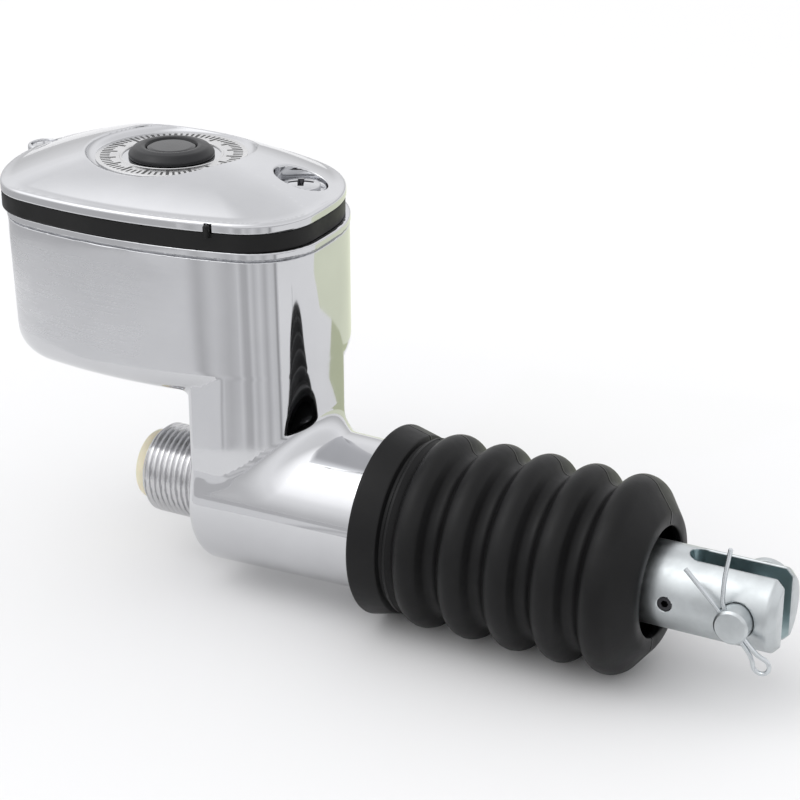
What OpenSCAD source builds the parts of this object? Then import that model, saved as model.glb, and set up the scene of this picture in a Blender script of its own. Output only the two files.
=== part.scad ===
// Hydraulic brake master cylinder with an upright reservoir, for a foot pedal.
// X runs along the bore towards the clevis, Z is up, and the origin is where the
// bore axis meets the mounting shoulder.

/* [Barrel and pillar] */
// Radius of the barrel at the mounting shoulder
barrel_r = 18.8; // [18.4:0.1:20]
// Radius of the barrel at its open end, smaller by the casting draft
barrel_end_r = 17.4; // [17:0.1:17.6]
// Length of the barrel
barrel_len = 57; // [56:0.5:58]
// Half width of the pillar between barrel and reservoir
pillar_half_w = 17.1; // [16:0.1:17.4]

/* [Reservoir] */
// Height of the reservoir's underside above the bore axis
tank_bottom_z = 27.6; // [26:0.1:30]
// Height of the reservoir's rim above the bore axis
tank_top_z = 65.3; // [62:0.1:68]
// Wall thickness of the reservoir
tank_wall = 4; // [3:0.25:5]
// Radius of the underside's rounded edge
tank_edge_r = 8; // [4:0.5:9]

/* [Cover] */
// Thickness of the rubber gasket under the cover
gasket_t = 4.3; // [3:0.1:5]
// Height of the cover's plain skirt
skirt_h = 2.5; // [2:0.1:3]
// Rise of the domed crown above the skirt
crown_h = 8.2; // [7:0.1:9]
// Radius of the pocket's floor around the sight glass
pocket_r = 18.2; // [16:0.1:19]
// Height of the pocket's floor above the skirt's top
pocket_floor_h = 4; // [3.5:0.1:4.5]
// Radius of the cover screw's head
cover_screw_head_r = 4.6; // [4:0.1:5]
// Radius of the smaller screw's head in the cover's ear
ear_screw_head_r = 3.2; // [3:0.1:3.4]

/* [Stud and bore] */
// Outer radius of the mounting stud's thread
stud_r = 11; // [10:0.5:11.5]
// Length of the stud in front of the shoulder
stud_len = 18; // [14:0.5:20]
// Radius of the hydraulic bore
bore_r = 7.94; // [7.5:0.01:8]
// Full stroke of the piston
stroke = 13; // [8:0.5:13]

/* [Push rod and clevis] */
// Radius of the push rod
rod_r = 4; // [3.5:0.1:4.2]
// Radius of the round clevis
clevis_r = 9.53; // [9:0.01:10]
// Distance from the shoulder to the clevis' end
clevis_end_x = 142; // [140:0.5:144]
// Distance from the shoulder to the clevis pin's axis
pin_x = 133.6; // [132:0.1:134]
// Radius of the clevis pin
pin_r = 3.97; // [3.1:0.01:4]
// Width of the clevis' slot
slot_w = 6; // [5.5:0.1:6.5]

/* [Bellows] */
// Number of lobes of the rubber bellows
lobes = 5; // [5:1:5]
// Outer radius of the lobes
lobe_r = 22.75; // [22:0.05:23]
// Distance between two lobes
lobe_pitch = 11.3; // [11:0.05:11.4]

/* [Hidden] */
$fn = 64;
gap = 0.05;

// Plan outline of reservoir, gasket and cover: each tangent arc runs up to the
// direction angle of its outward normal with this radius.
plan_start = [25.9, -0.3];
plan_arcs = [[5, 114], [65, 30], [105, 83.5], [150, 10.9],
             [215, 42.9], [260, 17.4], [285, 128], [360, 17]];
plan_step = 5;
plan_n = 360 / plan_step;
function plan_radius(a) = [for (arc = plan_arcs) if (a < arc[0]) arc[1]][0];
function total(v, i = 0) = i < len(v) ? v[i] + total(v, i + 1) : [0, 0];
plan_moves = [for (i = [0 : plan_n - 1])
    let (a = (i + 0.5) * plan_step)
    plan_radius(a) * plan_step * PI / 180 * [-sin(a), cos(a)]];
plan_slip = total(plan_moves) / plan_n;
plan_points = [for (i = 0, p = plan_start; i < plan_n;
    p = p + plan_moves[min(i, plan_n - 1)] - plan_slip, i = i + 1) p];
plan_centre = [-18, 11];

gasket_top_z = tank_top_z + gasket_t;
skirt_top_z = gasket_top_z + skirt_h;
pocket_z = skirt_top_z + pocket_floor_h;
pocket_at = [-19.4, 10.6];
screw_at = [14.6, 13.0];
screw_seat_z = skirt_top_z;
screw_shank_r = 2.4;
screw_bottom_z = 52;
ear_at = [-61.5, 17];
ear_r = 4.2;
ear_top_z = skirt_top_z - 0.5;
ear_shank_r = 1.5;
ear_screw_bottom_z = 58;
tank_shift = [1, 0.3];
tank_lean = [0.7, 0];
tank_inset = 0.6;
crown_inset = 1.6;
crown_levels = 6;
boss_r = 6;
notch_x = 7.9;

// Inside the barrel
neck_r = stud_r - 0.5;
shell_hole_r = neck_r + gap;
pillar_step = 0.3;
shoulder_relief = 0.5;
pillar_corner_r = 6;
front_wall = 3;
cartridge_r = 13;
bore_front_x = 1;
spring_solid_len = 9;
spring_end_x = bore_front_x + stroke + spring_solid_len;
piston_front_x = 24.6;
piston_end_x = 46;
ball_x = 40;
ball_r = 5.4;
washer_x = 46.2;
washer_t = 1.4;
ring_x = 47.7;
ring_t = 1.2;
wiper_x = 51;

// Outside the barrel
rod_end_x = 119;
clevis_back_x = 98;
slot_round_x = 119.4 + slot_w / 2;
nut_t = 5.5;
seat_x = 103.4;
seat_t = 1.6;
seat_r = 17;
seat_ring_t = 1.2;
set_screw_x = 117.3;
set_screw_r = 1.55;
cuff_x = 45.5;
cuff_r = 22.8;
lobe_depth = 3.9;
cuff_inner_r = 17.75;
lobe_first_x = 59.6;
boot_wall = 2.1;
boot_end_x = 113;
cotter_y = -11.3;
cotter_r = 0.5;
cotter_turn = 41;
pin_head_r = 6;
pin_back_y = 12.2;
pin_front_y = -13;

// A cylinder or cone along +X from x0 to x1.
module rod_x(x0, x1, r0, r1 = undef) {
    translate([x0, 0, 0]) rotate([0, 90, 0])
        cylinder(h = x1 - x0, r1 = r0, r2 = is_undef(r1) ? r0 : r1);
}

// A tube along +X from x0 to x1.
module tube_x(x0, x1, r_out, r_in) {
    difference() {
        rod_x(x0, x1, r_out);
        rod_x(x0 - 1, x1 + 1, r_in);
    }
}

// A body of revolution about X from a profile of [x, radius] points.
module turned(profile) {
    rotate([0, 90, 0]) rotate_extrude()
        polygon([for (p = profile) [p[1], p[0]]]);
}

// A helical spring about X, with flat-sided round wire.
module coil_x(x0, x1, mean_r, wire_r, turns) {
    steps = 20;
    sides = 8;
    rings = turns * steps;
    x_first = x0 + wire_r;
    x_rise = x1 - x0 - 2 * wire_r;
    points = [for (i = [0 : rings], j = [0 : sides - 1])
        let (a = 360 * i / steps, b = 360 * j / sides,
             x = x_first + x_rise * i / rings, r = mean_r + wire_r * cos(b))
        [x + wire_r * sin(b), r * cos(a), r * sin(a)]];
    walls = [for (i = [0 : rings - 1], j = [0 : sides - 1])
        let (k = (j + 1) % sides)
        [i * sides + j, (i + 1) * sides + j, (i + 1) * sides + k, i * sides + k]];
    caps = [[for (j = [0 : sides - 1]) j],
            [for (j = [sides - 1 : -1 : 0]) rings * sides + j]];
    polyhedron(points, concat(walls, caps));
}

// A bent round wire along a path of [x, z] points in the plane at y.
module bent_wire(path, y, r) {
    sides = 8;
    last = len(path) - 1;
    points = [for (i = [0 : last], j = [0 : sides - 1])
        let (d = path[min(i + 1, last)] - path[max(i - 1, 0)],
             n = [-d[1], d[0]] / norm(d), b = 360 * j / sides)
        [path[i][0] + r * cos(b) * n[0], y + r * sin(b), path[i][1] + r * cos(b) * n[1]]];
    walls = [for (i = [0 : last - 1], j = [0 : sides - 1])
        let (k = (j + 1) % sides)
        [i * sides + j, i * sides + k, (i + 1) * sides + k, (i + 1) * sides + j]];
    caps = [[for (j = [sides - 1 : -1 : 0]) j],
            [for (j = [0 : sides - 1]) last * sides + j]];
    polyhedron(points, concat(walls, caps));
}

// The plan outline, moved inwards by inset and shrunk to scale s about its centre.
module plan(inset = 0, s = 1) {
    polygon([for (i = [0 : plan_n - 1])
        let (a = i * plan_step)
        plan_centre + s * (plan_points[i] - inset * [cos(a), sin(a)] - plan_centre)]);
}

module slab(z, h, inset = 0, s = 1) {
    translate([0, 0, z]) linear_extrude(h) plan(inset, s);
}

// A convex dome on the plan outline, from the skirt's top up to the crown.
module dome(inset, base_z, rise) {
    hull() for (k = [0 : crown_levels - 1]) {
        s = 1 - k / crown_levels;
        slab(base_z + rise * (1 - s * s) - 0.01, 0.01, inset, s);
    }
}

// A slab of the reservoir's body, which leans a little as it goes down.
module tank_slab(z, h, inset) {
    depth = (tank_top_z - z) / (tank_top_z - tank_bottom_z);
    translate(tank_shift + depth * tank_lean) slab(z, h, inset + tank_inset * depth);
}

// A small round ear beside the outline, joined to it by a short web.
module ear(z, h, r) {
    translate([ear_at[0], ear_at[1], z]) {
        cylinder(h = h, r = r);
        translate([0, -r, 0]) cube([6, 2 * r, h]);
    }
}

// The pillar's plan: flat sides, and the reservoir's own wall towards the clevis.
module pillar_plan() {
    shift = tank_shift + tank_lean;
    side = pillar_half_w - pillar_corner_r;
    wall = [for (i = [plan_n - 15 : plan_n + 12])
        let (p = plan_points[i % plan_n], a = i * plan_step)
        if (p[1] < side - shift[1]) p + shift - tank_inset * [cos(a), sin(a)]];
    end = wall[len(wall) - 1];
    corner = [end[0] - pillar_corner_r, side];
    polygon(concat([[pillar_step, pillar_half_w], [pillar_step, -pillar_half_w],
                    [wall[0][0] - 1, -pillar_half_w]], wall,
        [for (a = [0 : 10 : 90]) corner + pillar_corner_r * [cos(a), sin(a)]]));
}

module reservoir_body() {
    color("gainsboro") difference() {
        union() {
            rod_x(0, 3, barrel_r - 2, barrel_r);
            rod_x(3, barrel_len, barrel_r, barrel_end_r);
            linear_extrude(tank_bottom_z + tank_edge_r) pillar_plan();
            hull() {
                for (a = [90, 60, 30, 0])
                    tank_slab(tank_bottom_z + tank_edge_r * (1 - sin(a)), 0.1,
                        tank_edge_r * (1 - sin(90 - a)));
                tank_slab(tank_top_z - 0.1, 0.1, 0);
            }
            ear(tank_top_z - 12, 12, ear_r - 0.2);
        }
        difference() {
            translate(tank_shift + tank_lean / 2)
                slab(tank_bottom_z + tank_wall, tank_top_z, tank_wall);
            translate(screw_at) cylinder(h = tank_top_z, r = boss_r);
        }
        translate(screw_at) translate([0, 0, screw_bottom_z - 2])
            cylinder(h = tank_top_z, r = screw_shank_r + gap);
        translate(ear_at) translate([0, 0, ear_screw_bottom_z - 1])
            cylinder(h = tank_top_z, r = ear_shank_r + gap);
        rod_x(-1, barrel_len, shell_hole_r);
        rod_x(-1, shoulder_relief, stud_r + 0.3);
        rod_x(front_wall, barrel_len + 1, cartridge_r + gap);
        translate([18, 0, 0]) cylinder(h = tank_bottom_z + tank_wall + 1, r = 2.5);
    }
}

module cartridge_body() {
    color("silver") difference() {
        union() {
            rod_x(-stud_len, -stud_len + 1, stud_r - 1, stud_r);
            rod_x(-stud_len + 1, 0, stud_r);
            rod_x(-0.01, front_wall + 0.01, neck_r);
            rod_x(front_wall, barrel_len, cartridge_r);
        }
        rod_x(bore_front_x, barrel_len + 1, bore_r);
        rod_x(-stud_len - 1, -5, 5);
        rod_x(-6, bore_front_x + 1, 1.5);
        for (x = [7, 33]) tube_x(x, x + 2.6, cartridge_r + 1, cartridge_r - 1.8);
        tube_x(13, 29, cartridge_r + 1, cartridge_r - 1);
        translate([27, 0, 0]) cylinder(h = cartridge_r + 1, r = 1.2);
        translate([22, 0, 0]) cylinder(h = cartridge_r + 1, r = 0.4);
        rod_x(ring_x - gap, ring_x + ring_t + gap, bore_r + 1);
        rod_x(wiper_x, wiper_x + 3, bore_r + 1);
    }
}

module cartridge_o_rings() {
    color("black") for (x = [8.3, 34.3]) rotate([0, 90, 0]) translate([0, 0, x])
        rotate_extrude() translate([cartridge_r - 0.9, 0]) circle(0.88, $fn = 24);
}

module port_plug() {
    color("wheat") union() {
        turned([[-21.6, 0], [-21.6, 6.6], [-21.0, 8.1], [-20.2, 8.8], [-18, 8.8], [-18, 0]]);
        rod_x(-18.01, -8, 4.9);
    }
}

module return_spring() {
    color("silver") coil_x(bore_front_x, spring_end_x, 5.8, 0.65, 6);
}

module spring_retainer() {
    color("goldenrod") turned([[spring_end_x, 2], [spring_end_x, 6.9],
        [piston_front_x - 0.6, 6.9], [piston_front_x - 0.6, 2.0]]);
}

module primary_cup() {
    color("black") turned([[piston_front_x - 0.6, 0], [piston_front_x - 0.6, 7.2],
        [piston_front_x - 0.2, 7.85], [piston_front_x + 2.4, 7.85],
        [piston_front_x + 2.4, 0]]);
}

module piston() {
    color("lightgray") difference() {
        turned([[piston_front_x + 2.4, 0], [piston_front_x + 2.4, 7.9],
            [piston_front_x + 4.4, 7.9], [piston_front_x + 4.4, 5.2],
            [34.4, 5.2], [34.4, 7.0], [35.6, 7.9], [36, 7.9], [36, 6.9],
            [38.6, 6.9], [38.6, 7.9], [piston_end_x, 7.9], [piston_end_x, 0]]);
        translate([ball_x, 0, 0]) sphere(ball_r + gap);
        rod_x(ball_x, piston_end_x + 1, ball_r + gap);
    }
}

module secondary_cup() {
    color("black") tube_x(36.05, 38.55, 7.9, 6.95);
}

module stop_washer() {
    color("silver") tube_x(washer_x, washer_x + washer_t, bore_r - 0.04, 4.75);
}

module snap_ring() {
    color("dimgray") difference() {
        tube_x(ring_x, ring_x + ring_t, bore_r + 0.9, bore_r - 1.4);
        translate([ring_x - 1, -2.5, 4]) cube([4, 5, 6]);
    }
}

module rod_wiper() {
    color("black") turned([[wiper_x, 6.2], [wiper_x, bore_r + 0.95],
        [wiper_x + 2.9, bore_r + 0.95], [wiper_x + 2.9, 5.6], [wiper_x + 2.4, 5.6]]);
}

module push_rod() {
    color("silver") difference() {
        union() {
            translate([ball_x, 0, 0]) sphere(ball_r);
            rod_x(ball_x, rod_end_x, rod_r);
        }
        rod_x(ball_x - ball_r - 1, ball_x - ball_r + 0.4, ball_r);
    }
}

module jam_nut() {
    color("silver") difference() {
        rotate([0, 90, 0]) translate([0, 0, clevis_back_x - nut_t])
            cylinder(h = nut_t, r = 7.4, $fn = 6);
        rod_x(0, clevis_back_x + 1, rod_r + gap);
    }
}

module pedal_return_spring() {
    color("silver") coil_x(barrel_len, seat_x, 13.6, 1, 7);
}

module spring_seat() {
    color("silver") tube_x(seat_x, seat_x + seat_t, seat_r, clevis_r + gap);
}

module seat_ring() {
    color("dimgray") difference() {
        tube_x(seat_x + seat_t, seat_x + seat_t + seat_ring_t, clevis_r + 1.2, clevis_r - 0.75);
        translate([seat_x, -3, -15]) cube([6, 6, 10]);
    }
}

// Radius of the bellows along X: rounded lobes with narrower valleys between them.
function lobe_radius(x) = lobe_r - lobe_depth
    + lobe_depth * pow(abs(cos(180 * (x - lobe_first_x) / lobe_pitch)), 0.8);

module bellows_boot() {
    start_x = lobe_first_x - lobe_pitch / 2;
    last_x = lobe_first_x + (lobes - 1) * lobe_pitch + 1.4;
    wave = [for (x = [start_x : lobe_pitch / 12 : last_x]) [x, lobe_radius(x)]];
    outer = concat([[cuff_x, cuff_r], [cuff_x + 7, cuff_r - 2]], wave,
        [[boot_end_x - 7, 22.0], [boot_end_x - 1.4, 14.9], [boot_end_x, 13.6]]);
    inner = concat([[cuff_x, 20.6], [cuff_x + 3.5, cuff_inner_r],
        [barrel_len + 0.3, cuff_inner_r]],
        [for (p = wave) if (p[0] > barrel_len + 0.8) [p[0], p[1] - boot_wall]],
        [[boot_end_x - 7.6, 19.8], [boot_end_x - 2.4, 13.4], [boot_end_x, 12.5]]);
    color([0.13, 0.13, 0.14]) turned(concat(outer,
        [for (i = [len(inner) - 1 : -1 : 0]) inner[i]]));
}

module clevis() {
    color("lightsteelblue") difference() {
        union() {
            rod_x(clevis_back_x, clevis_back_x + 1, clevis_r - 1, clevis_r);
            rod_x(clevis_back_x + 1, clevis_end_x - 1.2, clevis_r);
            rod_x(clevis_end_x - 1.2, clevis_end_x, clevis_r, clevis_r - 1.2);
        }
        rod_x(clevis_back_x - 1, slot_round_x, rod_r + gap);
        translate([slot_round_x, -slot_w / 2, -15]) cube([40, slot_w, 30]);
        translate([slot_round_x, 0, -15]) cylinder(h = 30, r = slot_w / 2);
        translate([pin_x, 20, 0]) rotate([90, 0, 0]) cylinder(h = 40, r = pin_r + gap);
        translate([set_screw_x, 0, 0]) rotate([90, 0, 0]) cylinder(h = 20, r = set_screw_r + gap);
        tube_x(seat_x + seat_t - gap, seat_x + seat_t + seat_ring_t + gap, 12, clevis_r - 0.8);
    }
}

module set_screw() {
    color([0.1, 0.1, 0.1]) translate([set_screw_x, -rod_r - 0.1, 0]) rotate([90, 0, 0])
        difference() {
            cylinder(h = clevis_r - rod_r - 0.5, r = set_screw_r);
            translate([0, 0, 3]) cylinder(h = 5, r = 0.9, $fn = 6);
        }
}

module clevis_pin() {
    color("lightsteelblue") translate([pin_x, 0, 0]) difference() {
        union() {
            translate([0, clevis_r + 0.25, 0]) rotate([-90, 0, 0]) cylinder(h = 2, r = pin_head_r);
            translate([0, pin_back_y - 2, 0]) rotate([90, 0, 0])
                cylinder(h = pin_back_y - 2 - pin_front_y - 0.6, r = pin_r);
            translate([0, pin_front_y + 0.6, 0]) rotate([90, 0, 0])
                cylinder(h = 0.6, r1 = pin_r, r2 = pin_r - 0.5);
        }
        translate([0, cotter_y, 0]) rotate([0, -cotter_turn, 0])
            cylinder(h = 20, r = cotter_r * 2 + gap, center = true);
    }
}

module cotter_pin() {
    along = [-sin(cotter_turn), cos(cotter_turn)];
    across = [cos(cotter_turn), sin(cotter_turn)];
    pin = [pin_x, 0];
    eye = pin - 10.6 * along;
    eye_r = 1.9;
    side = cotter_r + 0.03;
    lead = asin(side / eye_r);
    loop = [for (k = [0 : 16]) let (a = -lead - k / 16 * (360 - 2 * lead))
        eye + eye_r * (cos(a) * along + sin(a) * across)];
    leg_a = [[122.4, 10.8], pin + 3.8 * along - side * across];
    leg_b = [pin + 3.8 * along + side * across, [130.9, 6.9], [131.1, 12.2], [132.2, 17.8]];
    color("lightsteelblue") bent_wire(concat(leg_a, loop, leg_b), cotter_y, cotter_r);
}

module cover_gasket() {
    color([0.1, 0.1, 0.1]) difference() {
        union() {
            difference() {
                slab(tank_top_z, gasket_t, 0.2);
                slab(tank_top_z - 1, gasket_t + 2, tank_wall + 5);
            }
            difference() {
                slab(54, gasket_top_z - 54, tank_wall + 4);
                slab(55.6, gasket_top_z, tank_wall + 5.6);
                translate(screw_at) cylinder(h = 100, r = boss_r + 0.2);
            }
            translate(screw_at) translate([0, 0, tank_top_z]) cylinder(h = gasket_t, r = boss_r);
            translate([notch_x, -18.9, gasket_top_z - 1]) cube([1.3, 1.3, 2.8]);
            ear(tank_top_z, gasket_t, ear_r - 0.2);
        }
        translate(screw_at) cylinder(h = 100, r = screw_shank_r + gap);
        translate(ear_at) cylinder(h = 100, r = ear_shank_r + gap);
    }
}

module reservoir_cover() {
    color("whitesmoke") difference() {
        union() {
            slab(gasket_top_z, skirt_h - 0.7);
            slab(gasket_top_z, skirt_h - 0.2, 0.3);
            slab(gasket_top_z, skirt_h, 1);
            dome(crown_inset, skirt_top_z, crown_h);
            ear(gasket_top_z, ear_top_z - gasket_top_z, ear_r);
        }
        difference() {
            dome(8, gasket_top_z, 4.2);
            translate(screw_at) cylinder(h = 100, r = boss_r + 1);
        }
        translate([pocket_at[0], pocket_at[1], pocket_z])
            cylinder(h = 20, r1 = pocket_r, r2 = pocket_r + 2);
        translate([pocket_at[0], pocket_at[1], 0]) cylinder(h = 100, r = 6.1);
        translate(screw_at) {
            translate([0, 0, screw_seat_z]) cylinder(h = 30, r = 6.2);
            cylinder(h = 100, r = screw_shank_r + gap);
        }
        translate(ear_at) cylinder(h = 100, r = ear_shank_r + gap);
        translate([ear_at[0], ear_at[1], ear_top_z - 1])
            cylinder(h = 2, r = ear_screw_head_r + gap);
        translate([notch_x - gap, -25, gasket_top_z - 1]) cube([1.4, 7.45, 3]);
    }
}

// A cross-recessed screw whose head rests at seat_z.
module screw(bottom_z, seat_z, shank_r, head_r, head_h) {
    difference() {
        union() {
            translate([0, 0, bottom_z]) cylinder(h = seat_z - bottom_z, r = shank_r);
            translate([0, 0, seat_z]) cylinder(h = head_h / 2, r = head_r);
            translate([0, 0, seat_z + head_h / 2])
                cylinder(h = head_h / 2, r1 = head_r, r2 = head_r * 0.7);
        }
        for (turn = [0, 90]) translate([0, 0, seat_z + head_h]) rotate([0, 0, turn])
            cube([head_r, head_r * 0.2, head_h * 0.9], center = true);
    }
}

module cover_screw() {
    color("silver") translate(screw_at)
        screw(screw_bottom_z, screw_seat_z, screw_shank_r, cover_screw_head_r, 2.1);
}

module ear_screw() {
    color("silver") translate(ear_at)
        screw(ear_screw_bottom_z, ear_top_z - 1, ear_shank_r, ear_screw_head_r, 1.1);
}

module index_ring() {
    color("silver") translate([pocket_at[0], pocket_at[1], pocket_z]) difference() {
        cylinder(h = 0.3, r = pocket_r - 0.2);
        translate([0, 0, -1]) cylinder(h = 3, r = 11.7);
    }
}

module sight_glass_seal() {
    color("black") translate([pocket_at[0], pocket_at[1], pocket_z]) difference() {
        cylinder(h = 0.4, r = 9.4);
        translate([0, 0, -1]) cylinder(h = 3, r = 6.1);
    }
}

module sight_glass_lens() {
    color([0.2, 0.2, 0.22]) translate([pocket_at[0], pocket_at[1], pocket_z]) {
        translate([0, 0, -9]) cylinder(h = 3, r1 = 2.5, r2 = 5.86);
        translate([0, 0, -6]) cylinder(h = 8.6, r = 5.86);
    }
}

module sight_glass_bezel() {
    color([0.25, 0.25, 0.26]) translate([pocket_at[0], pocket_at[1], pocket_z + 0.4])
        difference() {
            union() {
                cylinder(h = 1.2, r = 10.2);
                translate([0, 0, 1.2]) cylinder(h = 1.3, r1 = 10.2, r2 = 8);
            }
            translate([0, 0, -1]) cylinder(h = 5, r = 5.86 + gap);
        }
}

reservoir_body();
cartridge_body();
cartridge_o_rings();
port_plug();
return_spring();
spring_retainer();
primary_cup();
piston();
secondary_cup();
stop_washer();
snap_ring();
rod_wiper();
push_rod();
jam_nut();
pedal_return_spring();
spring_seat();
seat_ring();
bellows_boot();
clevis();
set_screw();
clevis_pin();
cotter_pin();
cover_gasket();
reservoir_cover();
cover_screw();
ear_screw();
index_ring();
sight_glass_seal();
sight_glass_lens();
sight_glass_bezel();
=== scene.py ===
"""Looks of the brake master cylinder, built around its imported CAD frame.

Lengths are in millimetres until a mesh is made; the frame itself is in metres.
"""
import math

import bpy
import numpy as np
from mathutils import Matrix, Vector


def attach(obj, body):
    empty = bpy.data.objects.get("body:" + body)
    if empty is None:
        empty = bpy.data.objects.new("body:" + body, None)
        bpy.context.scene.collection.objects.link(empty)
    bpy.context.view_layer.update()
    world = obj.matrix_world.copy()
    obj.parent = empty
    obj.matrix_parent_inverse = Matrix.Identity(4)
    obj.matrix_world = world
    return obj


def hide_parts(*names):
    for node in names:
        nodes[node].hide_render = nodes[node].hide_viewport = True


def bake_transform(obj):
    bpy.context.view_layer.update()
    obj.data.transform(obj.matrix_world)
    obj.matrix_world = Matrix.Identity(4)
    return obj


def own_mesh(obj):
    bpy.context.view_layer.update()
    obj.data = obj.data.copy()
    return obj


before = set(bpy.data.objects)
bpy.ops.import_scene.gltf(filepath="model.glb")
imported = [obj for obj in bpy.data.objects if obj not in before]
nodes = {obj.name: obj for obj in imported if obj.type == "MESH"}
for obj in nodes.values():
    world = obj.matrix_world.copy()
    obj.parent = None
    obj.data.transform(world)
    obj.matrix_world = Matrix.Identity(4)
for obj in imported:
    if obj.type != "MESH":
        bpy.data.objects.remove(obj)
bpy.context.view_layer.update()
MM = 0.001

# ---------------------------------------------------------------- camera
CAMERA_AZIMUTH, CAMERA_ELEVATION = 28.173, 23.073
CAMERA_TARGET, CAMERA_DISTANCE = Vector((48.12, -1.05, 31.0)), 507.31
turn, lift = math.radians(CAMERA_AZIMUTH), math.radians(CAMERA_ELEVATION)
towards = Vector((math.sin(turn) * math.cos(lift), -math.cos(turn) * math.cos(lift), math.sin(lift)))
camera = bpy.data.objects.new("camera", bpy.data.cameras.new("camera"))
camera.data.sensor_width = 36
camera.data.lens = 100.49
camera.data.clip_start = 0.01
camera.location = (CAMERA_TARGET + towards * CAMERA_DISTANCE) * MM
camera.rotation_euler = (-towards).to_track_quat("-Z", "Y").to_euler()
bpy.context.scene.collection.objects.link(camera)
bpy.context.scene.camera = camera


# ---------------------------------------------------------------- mesh tools
def add_mesh(name, points, faces, normals=None, sharp_angle=None):
    """A smooth-shaded object from points in millimetres."""
    mesh = bpy.data.meshes.new(name)
    mesh.from_pydata((np.asarray(points) * MM).tolist(), [], [list(map(int, f)) for f in faces])
    mesh.validate()
    mesh.shade_smooth()
    if sharp_angle is not None:
        mesh.set_sharp_from_angle(angle=math.radians(sharp_angle))
    if normals is not None and len(normals) == len(mesh.vertices):
        mesh.normals_split_custom_set_from_vertices(normals.tolist())
    made = bpy.data.objects.new(name, mesh)
    bpy.context.scene.collection.objects.link(made)
    return made


def steps(*spans):
    """Grid lines through spans of (start, end, spacing) that follow each other."""
    lines = [np.array([spans[0][0]])]
    for start, end, spacing in spans:
        count = max(1, round((end - start) / spacing))
        lines.append(np.linspace(start, end, count + 1)[1:])
    return np.concatenate(lines)


def gradient(field, p, h=0.03):
    """Direction in which a field grows, by central differences."""
    g = np.empty_like(p)
    for k in range(3):
        step = np.zeros(3)
        step[k] = h
        a, b = p + step, p - step
        g[:, k] = field(a[:, 0], a[:, 1], a[:, 2]) - field(b[:, 0], b[:, 1], b[:, 2])
    return g / (2 * h)


def surface_net(name, field, xs, ys, zs, relax=2):
    """The surface where a distance field is zero, as a quad mesh with exact normals."""
    grid = np.stack(np.meshgrid(xs, ys, zs, indexing="ij"), axis=-1)
    value = field(grid[..., 0], grid[..., 1], grid[..., 2])
    inside = value < 0
    nx, ny, nz = inside.shape
    corner = [(i, j, k) for i in (0, 1) for j in (0, 1) for k in (0, 1)]
    count = sum(
        inside[i : nx - 1 + i, j : ny - 1 + j, k : nz - 1 + k].astype(np.int8)
        for i, j, k in corner
    )
    cell = np.argwhere((count > 0) & (count < 8))
    index = -np.ones((nx - 1, ny - 1, nz - 1), np.int64)
    index[tuple(cell.T)] = np.arange(len(cell))
    total, hits = np.zeros((len(cell), 3)), np.zeros(len(cell))
    for a in corner:
        for k in range(3):
            if a[k]:
                continue
            b = list(a)
            b[k] = 1
            ia, ib = tuple((cell + a).T), tuple((cell + b).T)
            va, vb = value[ia], value[ib]
            cross = (va < 0) != (vb < 0)
            share = np.where(cross, va / np.where(cross, va - vb, 1), 0)[:, None]
            total += np.where(cross[:, None], grid[ia] + share * (grid[ib] - grid[ia]), 0)
            hits += cross
    points = total / hits[:, None]
    quads = []
    for k in range(3):
        u, v = [m for m in range(3) if m != k]
        low = [slice(None)] * 3
        high = [slice(None)] * 3
        low[k], high[k] = slice(0, -1), slice(1, None)
        cut = inside[tuple(low)] != inside[tuple(high)]
        at = np.argwhere(cut)
        at = at[(at[:, u] > 0) & (at[:, v] > 0)]
        at = at[(at[:, u] < inside.shape[u] - 1) & (at[:, v] < inside.shape[v] - 1)]
        ring = []
        for du, dv in ((-1, -1), (0, -1), (0, 0), (-1, 0)):
            c = at.copy()
            c[:, u] += du
            c[:, v] += dv
            ring.append(index[tuple(c.T)])
        ring = np.stack(ring, axis=1)
        outward = inside[tuple(at.T)]
        if k == 1:
            outward = ~outward
        quads.append(np.where(outward[:, None], ring, ring[:, ::-1]))
    quads = np.concatenate(quads)

    def settle(p, rounds):
        for _ in range(rounds):
            g = gradient(field, p)
            size = np.maximum((g * g).sum(1, keepdims=True), 0.05)
            move = field(p[:, 0], p[:, 1], p[:, 2])[:, None] * g / size
            p = p - np.clip(move, -0.6, 0.6)
        return p

    points = settle(points, 3)
    pairs = np.concatenate([quads[:, [i, (i + 1) % 4]] for i in range(4)])
    for _ in range(relax):
        mean, degree = np.zeros_like(points), np.zeros(len(points))
        for a, b in ((0, 1), (1, 0)):
            np.add.at(mean, pairs[:, a], points[pairs[:, b]])
            np.add.at(degree, pairs[:, a], 1)
        points = settle(points + 0.5 * (mean / degree[:, None] - points), 2)
    g = gradient(field, points)
    normals = g / np.maximum(np.linalg.norm(g, axis=1, keepdims=True), 1e-9)
    return add_mesh(name, points, quads, normals)


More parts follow.
